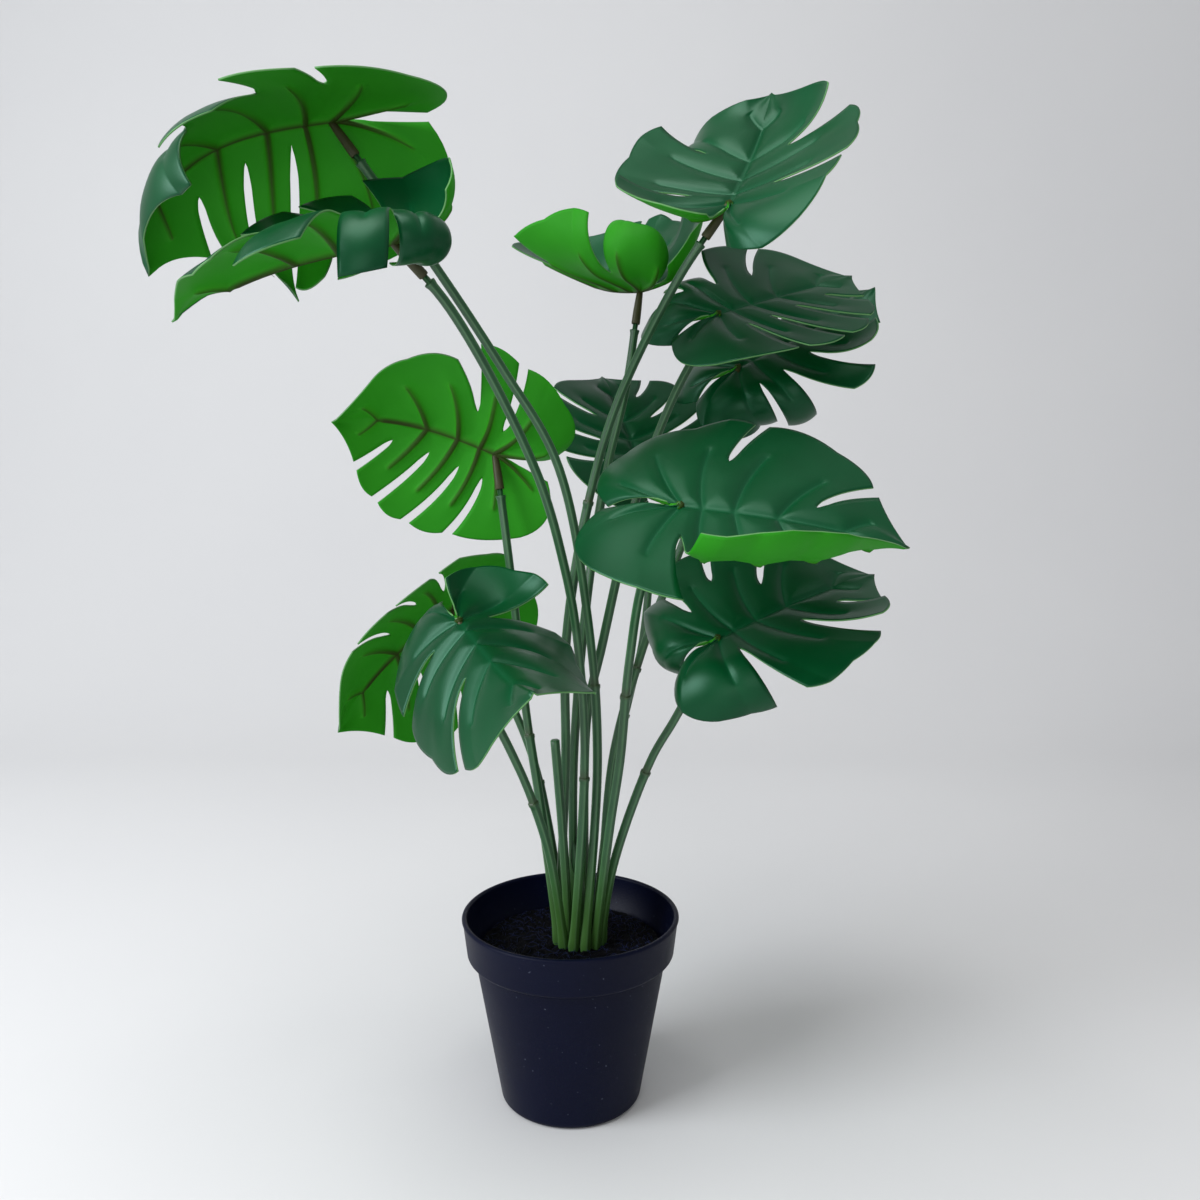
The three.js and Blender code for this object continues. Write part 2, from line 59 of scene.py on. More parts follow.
def newGroup(name, inputs, outputs):
    group = bpy.data.node_groups.new(name, "ShaderNodeTree")
    for label, kind, value in inputs:
        socket = group.interface.new_socket(name=label, in_out="INPUT", socket_type=kind)
        if value is not None:
            socket.default_value = value
    for label, kind in outputs:
        group.interface.new_socket(name=label, in_out="OUTPUT", socket_type=kind)
    start = group.nodes.new("NodeGroupInput")
    end = group.nodes.new("NodeGroupOutput")
    return group, start, end


def link(tree, a, b):
    tree.links.new(a, b)


def noiseNode(tree, vector, scale, detail):
    node = tree.nodes.new("ShaderNodeTexNoise")
    node.inputs["Scale"].default_value = scale
    node.inputs["Detail"].default_value = detail
    node.inputs["Roughness"].default_value = 0.55
    link(tree, vector, node.inputs["Vector"])
    return node


def feed(tree, socket, value):
    # links another node's output, or sets a plain value
    if hasattr(value, "is_output"):
        link(tree, value, socket)
    else:
        socket.default_value = value


def mixColour(tree, share, a, b):
    node = tree.nodes.new("ShaderNodeMix")
    node.data_type = "RGBA"
    for place, value in ((0, share), (6, a), (7, b)):
        feed(tree, node.inputs[place], value)
    return node.outputs[2]


def multiply(tree, a, b):
    node = tree.nodes.new("ShaderNodeMath")
    node.operation = "MULTIPLY"
    feed(tree, node.inputs[0], a)
    feed(tree, node.inputs[1], b)
    return node.outputs[0]


def mapRange(tree, value, fromRange, toRange):
    node = tree.nodes.new("ShaderNodeMapRange")
    link(tree, value, node.inputs["Value"])
    for label, number in zip(("From Min", "From Max", "To Min", "To Max"), fromRange + toRange):
        node.inputs[label].default_value = number
    return node.outputs["Result"]


def newMaterial(name, roughness, specular):
    material = bpy.data.materials.new(name)
    material.use_nodes = True
    tree = material.node_tree
    shader = tree.nodes["Principled BSDF"]
    shader.inputs["Roughness"].default_value = roughness
    shader.inputs["Specular IOR Level"].default_value = specular
    return material, tree, shader


def makeMottle():
    # soft patches and fine grain, both as a value around a half
    group, start, end = newGroup(
        "mottle",
        [("Vector", "NodeSocketVector", None), ("Patch Scale", "NodeSocketFloat", 25.0),
         ("Grain Scale", "NodeSocketFloat", 900.0)],
        [("Patch", "NodeSocketFloat"), ("Grain", "NodeSocketFloat")],
    )
    patch = noiseNode(group, start.outputs["Vector"], 25.0, 3.0)
    grain = noiseNode(group, start.outputs["Vector"], 900.0, 2.0)
    link(group, start.outputs["Patch Scale"], patch.inputs["Scale"])
    link(group, start.outputs["Grain Scale"], grain.inputs["Scale"])
    link(group, patch.outputs["Fac"], end.inputs["Patch"])
    link(group, grain.outputs["Fac"], end.inputs["Grain"])
    return group


mottleGroup = makeMottle()


def addMottle(tree, patchScale, grainScale):
    coordinates = tree.nodes.new("ShaderNodeTexCoord")
    node = tree.nodes.new("ShaderNodeGroup")
    node.node_tree = mottleGroup
    node.inputs["Patch Scale"].default_value = patchScale
    node.inputs["Grain Scale"].default_value = grainScale
    link(tree, coordinates.outputs["Object"], node.inputs["Vector"])
    return node.outputs["Patch"], node.outputs["Grain"]


def addBump(tree, shader, height, distance, strength):
    bump = tree.nodes.new("ShaderNodeBump")
    bump.inputs["Strength"].default_value = strength
    bump.inputs["Distance"].default_value = distance
    link(tree, height, bump.inputs["Height"])
    link(tree, bump.outputs["Normal"], shader.inputs["Normal"])


def attribute(tree, name):
    node = tree.nodes.new("ShaderNodeAttribute")
    node.attribute_name = name
    return node.outputs["Fac"]


leafLook = {
    "topDark": rgb(0, 46, 24),
    "topLight": rgb(0, 80, 44),
    # the groove colour is a painted highlight: a paler teal along the vein grooves of the top
    "topGrooveHighlight": rgb(30, 104, 70),
    "topShine": rgb(190, 255, 228),
    "topRough": (0.32, 0.42),
    "topIor": 1.34,
    "grooveHighlightShow": 0.22,
    "under": rgb(46, 140, 26),
    "underDeep": rgb(30, 114, 20),
    "underGlow": rgb(70, 158, 30),
    "underRib": rgb(40, 52, 16),
    # strength of the painted glow of the underside
    "underPaintedGlow": 0.12,
    "haloShow": 0.35,
    "edge": rgb(104, 156, 96),
    "edgeDeep": rgb(66, 122, 62),
    "socket": rgb(72, 70, 38),
    "socketDark": rgb(42, 46, 24),
}


def makeLeafTop():
    material, tree, shader = newMaterial("leafTop", 0.36, 0.7)
    patch, grain = addMottle(tree, 16.0, 1400.0)
    base = mixColour(tree, patch, leafLook["topDark"], leafLook["topLight"])
    # painted highlight: the paler groove colour laid over the vein grooves
    groove = multiply(tree, attribute(tree, "groove"), leafLook["grooveHighlightShow"])
    base = mixColour(tree, groove, base, leafLook["topGrooveHighlight"])
    link(tree, base, shader.inputs["Base Color"])
    link(tree, mapRange(tree, patch, (0.3, 0.7), leafLook["topRough"]), shader.inputs["Roughness"])
    shader.inputs["Specular Tint"].default_value = leafLook["topShine"]
    shader.inputs["IOR"].default_value = leafLook["topIor"]
    addBump(tree, shader, multiply(tree, grain, 0.3), 0.0002, 0.5)
    return material


def makeLeafUnder():
    material, tree, shader = newMaterial("leafUnder", 0.6, 0.16)
    patch, grain = addMottle(tree, 14.0, 1200.0)
    base = mixColour(tree, patch, leafLook["underDeep"], leafLook["under"])
    halo = multiply(tree, attribute(tree, "groove"), leafLook["haloShow"])
    base = mixColour(tree, halo, base, leafLook["underGlow"])
    base = mixColour(tree, attribute(tree, "rib"), base, leafLook["underRib"])
    link(tree, base, shader.inputs["Base Color"])
    # painted glow: the underside emits its own colour in place of a little light coming through the thin
    # blade
    link(tree, base, shader.inputs["Emission Color"])
    shader.inputs["Emission Strength"].default_value = leafLook["underPaintedGlow"]
    addBump(tree, shader, multiply(tree, grain, 0.3), 0.0002, 0.5)
    return material


def makeLeafEdge():
    material, tree, shader = newMaterial("leafEdge", 0.5, 0.4)
    patch, grain = addMottle(tree, 40.0, 1500.0)
    base = mixColour(tree, patch, leafLook["edge"], leafLook["edgeDeep"])
    link(tree, base, shader.inputs["Base Color"])
    addBump(tree, shader, grain, 0.0001, 0.4)
    return material


def makeLeafSocket():
    material, tree, shader = newMaterial("leafSocket", 0.5, 0.4)
    patch, grain = addMottle(tree, 90.0, 1300.0)
    base = mixColour(tree, patch, leafLook["socketDark"], leafLook["socket"])
    link(tree, base, shader.inputs["Base Color"])
    addBump(tree, shader, grain, 0.0002, 0.5)
    return material


leafMaterials = [makeLeafTop(), makeLeafUnder(), makeLeafEdge(), makeLeafSocket()]
print("leaf materials made")


def curveSamples(points):
    # a smooth centripetal curve through the points
    steps = 24
    points = [np.array(point, float) for point in points]
    ahead = 2 * points[-1] - points[-2]
    behind = 2 * points[0] - points[1]
    chain = [behind] + points + [ahead]
    samples = []
    for i in range(1, len(chain) - 2):
        p0, p1, p2, p3 = chain[i - 1:i + 3]
        gaps = ((p0, p1), (p1, p2), (p2, p3))
        d0, d1, d2 = (max(np.linalg.norm(b - a), 1e-6) ** 0.5 for a, b in gaps)
        m1 = ((p1 - p0) / d0 - (p2 - p0) / (d0 + d1) + (p2 - p1) / d1) * d1
        m2 = ((p2 - p1) / d1 - (p3 - p1) / (d1 + d2) + (p3 - p2) / d2) * d1
        for step in range(steps):
            t = step / steps
            samples.append(p1 + m1 * t + (-3 * p1 + 3 * p2 - 2 * m1 - m2) * t ** 2
                           + (2 * p1 - 2 * p2 + m1 + m2) * t ** 3)
    samples.append(points[-1])
    return np.array(samples)


class Route:
    # a curve that is read by its length
    def __init__(self, points):
        self.samples = curveSamples(points)
        steps = np.linalg.norm(np.diff(self.samples, axis=0), axis=1)
        self.lengths = np.concatenate([[0], np.cumsum(steps)])
        self.length = self.lengths[-1]

    def at(self, distance):
        return np.array([np.interp(distance, self.lengths, self.samples[:, i]) for i in range(3)])

    def direction(self, distance):
        low = min(max(distance - 1.0, 0), self.length - 2.0)
        way = self.at(low + 2.0) - self.at(low)
        return way / np.linalg.norm(way)


def sweepRings(route, stations, sides, shape=None):
    # rings of points across the route, each station a distance and a radius
    rings = []
    side = np.array([1.0, 0.0, 0.0])
    angles = 2 * math.pi * np.arange(sides) / sides
    for distance, radius in stations:
        way = route.direction(distance)
        onRoute = min(max(distance, 0), route.length)
        centre = route.at(onRoute) + way * (distance - onRoute)
        side = side - way * side.dot(way)
        side /= np.linalg.norm(side)
        up = np.cross(way, side)
        radii = radius * (shape(angles, distance) if shape else np.ones(sides))
        across = np.outer(radii * np.cos(angles), side)
        rings.append(centre + across + np.outer(radii * np.sin(angles), up))
    return rings


def meshFromRings(rings):
    sides = len(rings[0])
    points = np.concatenate(rings)
    faces = []
    for ring in range(len(rings) - 1):
        for i in range(sides):
            a = ring * sides + i
            b = ring * sides + (i + 1) % sides
            faces.append((a, b, b + sides, a + sides))
    faces.append(tuple(reversed(range(sides))))
    faces.append(tuple(range((len(rings) - 1) * sides, len(rings) * sides)))
    return points, faces


def newPiece(name, points, faces, materials):
    mesh = bpy.data.meshes.new(name)
    mesh.from_pydata([tuple(point * mm) for point in points], [], faces)
    mesh.update()
    piece = bpy.data.objects.new(name, mesh)
    bpy.context.collection.objects.link(piece)
    for material in materials:
        mesh.materials.append(material)
    mesh.polygons.foreach_set("use_smooth", [True] * len(mesh.polygons))
    return piece


def addAttribute(piece, name, values):
    layer = piece.data.attributes.new(name=name, type="FLOAT", domain="POINT")
    layer.data.foreach_set("value", np.asarray(values, dtype=np.float32))


# places and sizes in millimetres, with heights from the soil, as the CAD has them
soil = {"mound": 2, "rimRadius": 72.5}
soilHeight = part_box("soil_topping")[1][2] / mm - soil["mound"]

crown = {"centre": (6, 0), "radius": 4.2, "height": 48, "rootDepth": 40, "budLength": 24, "budRadius": 4.2}

stem = {
    "ring": 14.7, "footRadius": 2.9, "radius": 2.6, "rootDepth": 32, "sides": 24,
    "jointLength": 3, "neckRadius": 1.7, "neckBare": 4, "flareRadius": 3.2, "flareLength": 4,
    "socketRadius": 2.9, "socketLength": 24, "boreDepth": 6, "boreGap": 0.3, "cutRing": 8.0,
    "cutAngle": 200, "cutHeight": 142, "flutes": 5, "fluteTwist": 0.004, "swell": 0.35,
}

# Each stem's place in the ring, its joint and its route, then its leaf's place, its aim as
# heading, pitch and roll, and its shape: fold and curl of the right and left side, bend of the
# rib and of the base, curl of single lobes and where slits start, each as right, left.
plant = {
    "top_left": {
        "ring": 285, "joint": 0.36,
        "by": [[18, -20, 132], [12, -28, 226], [-6, -38, 321], [-38, -43, 377], [-80, -47, 441]],
        "at": [-133, -50, 514], "aim": [184, -8, -10], "size": 155, "fold": [-50, -4],
        "curl": [-12, -18], "bend": [-105, -28],
        "lobes": [[10, -30, -40, -20, 0, 10], [0, 0, 0, -10, -30, -10]],
        "slits": [[1, 1, 0.5, 0.12, 0.15, 0.3, 1], [1, 1, 0.6, 0.6, 0.6, 1, 1]]
    },
    "upper_left": {
        "ring": 255, "joint": 0.3,
        "by": [[10, -28, 134], [6, -41, 213], [-2, -54, 263], [-17, -72, 318], [-59, -108, 404]],
        "at": [-87, -125, 437], "aim": [186, -11, 9], "size": 120, "fold": [18, 28], "curl": [10, 0],
        "bend": [-30, 25], "lobes": [[40, 10, 0, 0, 0, 0], [-112, -116, -60, -30, -20, 0]]
    },
    "mid_left": {
        "ring": 195, "joint": 0.48, "by": [[-20, 0, 98], [-28, 2, 153], [-37, 6, 240], [-44, 10, 298]],
        "at": [-48, 14, 326], "aim": [176, 22, -58], "size": 108, "fold": [-16, -8], "curl": [0, -20],
        "bend": [-62, -15], "lobes": [[0, 0, 0, 0, 0, 0], [30, 40, 30, 0, 0, 0]],
        "slits": [[1, 1, 0.3, 0.25, 0.25, 0.35, 1], [1, 1, 0.3, 0.38, 1, 1, 1]]
    },
    "low_left_back": {
        "ring": 135, "joint": 0.5, "by": [[-15, 16, 74], [-26, 24, 121], [-46, 32, 167]],
        "at": [-82, 48, 220], "aim": [195, -36, -60], "size": 116, "fold": [-22, -15],
        "curl": [0, -50], "bend": [-48, -10], "lobes": [[0, 0, 0, 0, 0, 0], [-15, 0, 0, 0, 0, 0]],
        "slits": [[1, 1, 0.28, 0.28, 0.25, 0.35, 1], [1, 1, 0.3, 0.4, 0.3, 1, 1]]
    },
    "low_left_front": {
        "ring": 225, "joint": 0.5,
        "by": [[-13, -22, 70], [-25, -35, 116], [-36, -46, 147], [-52, -62, 188]],
        "at": [-61, -80, 232], "aim": [-60, -22, -12], "size": 106, "fold": [-40, -15],
        "curl": [-30, -30], "bend": [30, 0],
        "lobes": [[-20, 0, -5, -5, -5, 0], [20, 45, 0, -10, 0, 0]],
        "slits": [[1, 1, 0.35, 1, 0.25, 1, 1], [1, 1, 0.3, 1, 1, 1, 1]]
    },
    "top_right": {
        "ring": 165, "joint": 0.62,
        "by": [[-3, 2, 126], [-2, -2, 207], [13, -8, 298], [30, -18, 356], [66, -34, 429]],
        "at": [95, -38, 471], "aim": [66, 38, -6], "size": 112, "fold": [20, 8], "curl": [5, 5],
        "bend": [20, 45], "lobes": [[-30, 0, 0, 0, 20, 20], [16, 10, -5, 0, -30, 10]],
        "slits": [[1, 1, 0.4, 1, 0.4, 1, 1], [1, 1, 0.35, 1, 0.4, 1, 1]]
    },
    "centre_top": {
        "ring": 105, "joint": 0.7, "by": [[2, 20, 122], [12, 24, 237], [24, 42, 312], [37, 60, 366]],
        "at": [47, 72, 434], "aim": [125, 4, 0], "size": 120, "fold": [45, 14], "curl": [0, 0],
        "bend": [65, 10], "lobes": [[30, 15, -10, 0, 0, 0], [60, 75, 50, 10, 0, 0]],
        "slits": [[1, 1, 0.5, 1, 0.5, 1, 1], [1, 1, 0.4, 1, 0.5, 1, 1]]
    },
    "upper_right": {
        "ring": 75, "joint": 0.7, "by": [[11, 11, 152], [21, 8, 201], [44, 4, 301], [66, 3, 361]],
        "at": [94, 2, 412], "aim": [28, 16, -28], "size": 108, "fold": [5, 5], "curl": [-5, 0],
        "bend": [-5, -55], "lobes": [[0, 0, 0, 0, 0, 0], [-25, -45, -25, 0, 0, 0]]
    },
    "right_back": {
        "ring": 15, "joint": 0.5, "by": [[28, 12, 122], [48, 20, 196], [67, 27, 246], [92, 36, 314]],
        "at": [113, 55, 382], "aim": [8, 26, -20], "size": 106, "fold": [-15, 5], "curl": [-15, 0],
        "bend": [10, -32], "lobes": [[-10, -70, -60, 0, 20, 0], [-20, -20, 0, 0, 0, 0]]
    },
    "centre_back": {
        "ring": 45, "joint": 0.5, "by": [[30, 32, 116], [41, 46, 162], [49, 55, 194], [54, 69, 250]],
        "at": [47, 85, 317], "aim": [110, 45, 0], "size": 98, "fold": [12, 12], "curl": [0, 0],
        "bend": [-20, -10]
    },
    "right_front": {
        "ring": 315, "joint": 0.62,
        "by": [[26, -25, 90], [32, -40, 138], [37, -62, 204], [46, -84, 262]], "at": [65, -100, 300],
        "aim": [-9, -6, -22], "size": 125, "fold": [-15, 14], "curl": [10, 0], "bend": [-15, -5],
        "lobes": [[-10, 0, 42, 48, 48, 40], [-20, -10, 0, 0, 0, 0]],
        "slits": [[1, 1, 0.35, 1, 1, 1, 1], [1, 1, 1, 0.5, 1, 0.25, 1]]
    },
    "low_right": {
        "ring": 345, "joint": 0.6, "by": [[28, -12, 57], [52, -29, 135], [66, -37, 163]],
        "at": [91, -55, 218], "aim": [18, 22, -24], "size": 112, "fold": [8, 5], "curl": [0, 0],
        "bend": [-18, -5], "lobes": [[-30, -58, -10, 0, 10, 0], [-70, -20, 0, 0, 0, 0]],
        "slits": [[1, 1, 0.3, 1, 0.33, 0.45, 1], [1, 1, 0.4, 0.6, 0.35, 1, 1]]
    }
}

# One flat blade of unit length, tip along +Y: margin points between and on the six lobes of
# each side, where slits start, and where edges and veins leave the rib.
blade = {
    "ribEdges": [0, 0, 0.04, 0.15, 0.32, 0.52, 1],
    "ribVeins": [0, 0, 0.09, 0.23, 0.42, 0.72],
    "right": {
        "edges": [(0.035, -0.36), (0.44, -0.33), (0.61, 0.12), (0.625, 0.42), (0.52, 0.67),
                  (0.3, 0.84), (0, 1)],
        "veins": [(0.25, -0.44), (0.56, -0.11), (0.655, 0.27), (0.61, 0.56), (0.44, 0.78), (0.13, 0.915)],
        "slits": [1, 1, 0.38, 0.33, 0.33, 0.45, 1],
    },
    "left": {
        "edges": [(0.035, -0.36), (0.45, -0.34), (0.61, -0.02), (0.64, 0.29), (0.53, 0.64),
                  (0.31, 0.83), (0, 1)],
        "veins": [(0.26, -0.45), (0.57, -0.2), (0.665, 0.14), (0.63, 0.48), (0.44, 0.76), (0.13, 0.91)],
        "slits": [1, 1, 0.5, 0.38, 0.42, 1, 1],
    },
    "slitWidth": 0.05, "bow": 0.16, "baseBow": -0.03, "curlStart": 0.33, "columns": 14, "rows": 40,
    "thickness": 0.9, "grooveDepth": 1.3, "grooveWidth": 1.9, "pillow": 1.6, "pillowWidth": 6.5,
    "ribHeight": 1.0, "ribWidth": 1.35, "veinEnd": 0.66, "midribEnd": 0.74,
}


def bladeLine(root, margin, b, bow):
    dx, dy = margin[0], margin[1] - root
    cx, cy = dx / 2 + bow * dy, root + dy / 2 - bow * dx
    x = 2 * b * (1 - b) * cx + b ** 2 * margin[0]
    y = (1 - b) ** 2 * root + 2 * b * (1 - b) * cy + b ** 2 * margin[1]
    return np.stack([x, y], 1)


def slitOpening(b, start):
    if start >= 1:
        return np.zeros_like(b)
    out = np.clip((b - start) / (1 - start), 0, 1)
    return blade["slitWidth"] * np.sqrt(np.minimum(out * 6, 1)) * (0.55 + 0.75 * out)


def lobeGrid(side, slits, lobe, s, b):
    vein = bladeLine(blade["ribVeins"][lobe], side["veins"][lobe], b, blade["bow"])
    edges = []
    for edge in (lobe, lobe + 1):
        bow = blade["bow"] if edge else blade["baseBow"]
        line = bladeLine(blade["ribEdges"][edge], side["edges"][edge], b, bow)
        toVein = vein - line
        reach = np.maximum(np.linalg.norm(toVein, axis=1), 1e-9)
        share = np.minimum(slitOpening(b, slits[edge]) / 2 / reach, 0.4)
        edges.append(line + toVein * share[:, None])
    weights = (s * (s - 1) / 2, 1 - s * s, s * (s + 1) / 2)
    return sum(w[:, None, None] * line[None] for w, line in zip(weights, (edges[0], vein, edges[1])))


def curlColumns(grid, b, angles):
    # curls each column of a lobe along its own chord
    share = np.clip((b - blade["curlStart"]) / (1 - blade["curlStart"]), 0, 1)
    chord = grid[:, -1] - grid[:, 0]
    chord /= np.maximum(np.linalg.norm(chord, axis=1), 1e-9)[:, None]
    slope = np.radians(angles)[:, None] * (share[1:] + share[:-1])[None]
    steps = np.diff(grid, axis=1)
    along = (steps * chord[:, None]).sum(2)
    flat = steps - chord[:, None] * (along * (1 - np.cos(slope)))[..., None]
    rise = along * np.sin(slope)
    points = np.zeros(grid.shape[:2] + (3,))
    points[:, 0, :2] = grid[:, 0]
    points[:, 1:, :2] = grid[:, :1] + np.cumsum(flat, axis=1)
    points[:, 1:, 2] = np.cumsum(rise, axis=1)
    return points


def bendBlade(points, shape, sign):
    pick = 0 if sign > 0 else 1
    x, y, z = np.abs(points[..., 0]), points[..., 1], points[..., 2]
    fold = math.radians(shape["fold"][pick])
    halfCurl = math.radians(shape["curl"][pick]) * x / 2
    radius = x * np.sinc(halfCurl / math.pi)
    lean = fold + 2 * halfCurl
    px = sign * (radius * np.cos(fold + halfCurl) - z * np.sin(lean))
    pz = radius * np.sin(fold + halfCurl) + z * np.cos(lean)
    reach, drop, tilt = ribCurve(y, shape["bend"])
    return np.stack([px, reach - pz * np.sin(tilt), drop + pz * np.cos(tilt)], -1)


def ribCurve(y, bend):
    # the rib turns more and more towards the tip, and evenly behind the stem
    steps = 12
    ahead = math.radians(bend[0])
    reach, drop = np.zeros_like(y), np.zeros_like(y)
    for step in range(steps):
        angle = ahead * (y * (step + 0.5) / steps) ** 2
        reach += y / steps * np.cos(angle)
        drop += y / steps * np.sin(angle)
    halfBack = math.radians(bend[1]) * np.abs(y) / 2
    chord = np.abs(y) * np.sinc(halfBack / math.pi)
    behind = y < 0
    reach = np.where(behind, -chord * np.cos(halfBack), reach)
    drop = np.where(behind, chord * np.sin(halfBack), drop)
    return reach, drop, np.where(behind, -2 * halfBack, ahead * y ** 2)


def leafAxes(aim):
    heading, pitch, roll = (math.radians(angle) for angle in aim)
    level = np.array([math.sin(heading), -math.cos(heading), 0.0])
    ahead = np.array([math.cos(heading), math.sin(heading), 0.0])
    tip = ahead * math.cos(pitch) + (0, 0, math.sin(pitch))
    lift = np.cross(level, tip)
    right = level * math.cos(roll) + lift * math.sin(roll)
    return np.stack([right, tip, np.cross(right, tip)])


def smoothStep(low, high, value):
    t = np.clip((value - low) / (high - low), 0, 1)
    return t * t * (3 - 2 * t)


def lobeAngles(lobe, ways, curls, slits):
    # a lobe's curl goes over into its neighbour's where no slit parts them
    angles = np.full(len(ways), float(curls[lobe]))
    for column, way in enumerate(ways):
        neighbour, edge = (lobe - 1, lobe) if way < 0 else (lobe + 1, lobe + 1)
        if way and slits[edge] >= 1 and 0 <= neighbour < 6:
            angles[column] += (curls[neighbour] - curls[lobe]) * abs(way) / 2
    return angles


def pointKey(sign, lobe, column, row, outward, slits):
    # points with the same key are one: at the stem, on the rib and where lobes join
    atEdge = column in (0, blade["columns"])
    edge = lobe if column == 0 else lobe + 1
    if row == 0 and (lobe == 0 or (atEdge and edge == 1)):
        return "stem"
    if row == 0:
        return ("rib", edge) if atEdge else ("rib", lobe, column)
    if atEdge and edge == 6:
        return ("rib", 6)
    if atEdge and edge > 0 and outward <= slits[edge]:
        return (sign, "edge", edge, row)
    return (sign, lobe, column, row)


def bladeSurface(shape):
    # one sheet of shared points, open along the slits, with what the relief and colours need
    columns, rows = blade["columns"], blade["rows"]
    u = np.linspace(-1, 1, columns + 1)
    s = np.sign(u) * np.abs(u) ** 1.35  # finer columns beside the vein
    b = np.linspace(0, 1, rows + 1)
    index, places, details, counts, faces = {}, [], [], [], []
    for pick, (sign, label) in enumerate(((1, "right"), (-1, "left"))):
        side = blade[label]
        curls = shape["lobes"][pick] if "lobes" in shape else [0] * 6
        slits = shape["slits"][pick] if "slits" in shape else side["slits"]
        for lobe in range(6):
            grid = lobeGrid(side, slits, lobe, s, b)
            raised = curlColumns(grid, b, lobeAngles(lobe, s, curls, slits))
            raised[..., 0] *= sign
            bent = bendBlade(raised, shape, sign)
            vein = grid[columns // 2]
            half = np.where(s[:, None] < 0, np.linalg.norm(grid[:1] - vein, axis=2),
                            np.linalg.norm(grid[-1:] - vein, axis=2))
            veinGap = np.abs(s)[:, None] * half * shape["size"]
            ribGap = np.abs(grid[..., 0]) * shape["size"]
            ids = np.zeros((columns + 1, rows + 1), int)
            for c in range(columns + 1):
                for r in range(rows + 1):
                    key = pointKey(sign, lobe, c, r, b[r], slits)
                    if key not in index:
                        index[key] = len(places)
                        places.append(np.zeros(3))
                        details.append(np.zeros(4))
                        counts.append(0)
                    ids[c, r] = index[key]
                    places[index[key]] += bent[c, r]
                    details[index[key]] += (veinGap[c, r], ribGap[c, r], b[r], grid[c, r, 1])
                    counts[index[key]] += 1
            quads = np.stack([ids[:-1, :-1], ids[:-1, 1:], ids[1:, 1:], ids[1:, :-1]], -1).reshape(-1, 4)
            faces.append(quads if sign > 0 else quads[:, ::-1])
    counts = np.array(counts)[:, None]
    return np.array(places) / counts, np.array(details) / counts, np.concatenate(faces)


def pointNormals(points, quads):
    normals = np.zeros_like(points)
    across = points[quads[:, 2]] - points[quads[:, 0]]
    flat = np.cross(across, points[quads[:, 3]] - points[quads[:, 1]])
    for corner in range(4):
        np.add.at(normals, quads[:, corner], flat)
    return normals / np.maximum(np.linalg.norm(normals, axis=1), 1e-12)[:, None]


def relief(details):
    # how far the face rises, how deep in a groove it is, and how thick the ribs stand below
    veinGap, ribGap, outward, along = details.T
    veinLive = 1 - smoothStep(blade["veinEnd"] - 0.06, blade["veinEnd"], outward)
    taper = 1 - 0.45 * outward
    veinGroove = np.exp(-(veinGap / blade["grooveWidth"]) ** 2) * veinLive * taper
    ribLive = (along > -0.02) * (1 - smoothStep(blade["midribEnd"] - 0.05, blade["midribEnd"], along))
    ribGroove = np.exp(-(ribGap / blade["grooveWidth"]) ** 2) * ribLive
    groove = np.maximum(veinGroove, ribGroove)
    nearest = np.minimum(veinGap, np.where(ribLive > 0, ribGap, 99))
    pillow = (1 - np.exp(-(nearest / blade["pillowWidth"]) ** 2)) * (1 - smoothStep(0.3, 0.95, outward))
    height = blade["pillow"] * pillow - blade["grooveDepth"] * groove
    veinRib = np.exp(-(veinGap / (blade["ribWidth"] * taper)) ** 4) * veinLive * taper
    midRib = np.exp(-(ribGap / (blade["ribWidth"] * 1.25)) ** 4) * ribLive
    return height, groove, np.maximum(veinRib, midRib)


def makeLeaf(name, shape, route):
    places, details, quads = bladeSurface(shape)
    keep = [len(set(quad)) >= 3 for quad in quads.tolist()]
    quads = quads[keep]
    axes = leafAxes(shape["aim"])
    at = np.array(shape["at"], float) + (0, 0, soilHeight)
    points = places * shape["size"] @ axes + at
    height, groove, rib = relief(details)
    normals = pointNormals(points, quads)
    middle = points + normals * height[:, None]
    normals = pointNormals(middle, quads)
    half = blade["thickness"] / 2
    top = middle + normals * half
    under = middle - normals * (half + rib * blade["ribHeight"])[:, None]
    count = len(points)
    topFaces = [tuple(dict.fromkeys(quad)) for quad in quads.tolist()]
    underFaces = [tuple(i + count for i in reversed(face)) for face in topFaces]
    edges = set()
    for face in topFaces:
        edges.update(zip(face, face[1:] + face[:1]))
    rim = [(a, a + count, c + count, c) for a, c in edges if (c, a) not in edges]
    socketPoints, socketFaces = makeSocket(route)
    socketFaces = [tuple(i + 2 * count for i in face) for face in socketFaces]
    allPoints = np.concatenate([top, under, socketPoints])
    piece = newPiece(name, allPoints, topFaces + underFaces + rim + socketFaces, leafMaterials)
    slots = [0] * len(topFaces) + [1] * len(underFaces) + [2] * len(rim) + [3] * len(socketFaces)
    piece.data.polygons.foreach_set("material_index", slots)
    spare = np.zeros(len(socketPoints))
    addAttribute(piece, "groove", np.concatenate([groove, groove, spare]))
    addAttribute(piece, "rib", np.concatenate([rib, rib, spare]))
    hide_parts("leaf_" + name.split("-")[1])
    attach(piece, "root")


def makeSocket(route):
    end = route.length - stem["socketLength"]
    radius = stem["socketRadius"]
    bore = stem["neckRadius"] + stem["boreGap"]
    stations = [(end + stem["boreDepth"], 0.2), (end + stem["boreDepth"], bore), (end, bore)]
    stations += [(end, radius * 0.92), (end + 0.6, radius)]
    for share in (0.2, 0.4, 0.6, 0.8, 0.92, 1):
        width = radius * (1 - 0.35 * share ** 2)
        stations.append((end + stem["socketLength"] * share, width if share < 1 else radius * 0.3))
    return meshFromRings(sweepRings(route, stations, 16))


def ringPlace(angle, radius):
    return (crown["centre"][0] + radius * math.cos(math.radians(angle)),
            crown["centre"][1] + radius * math.sin(math.radians(angle)))


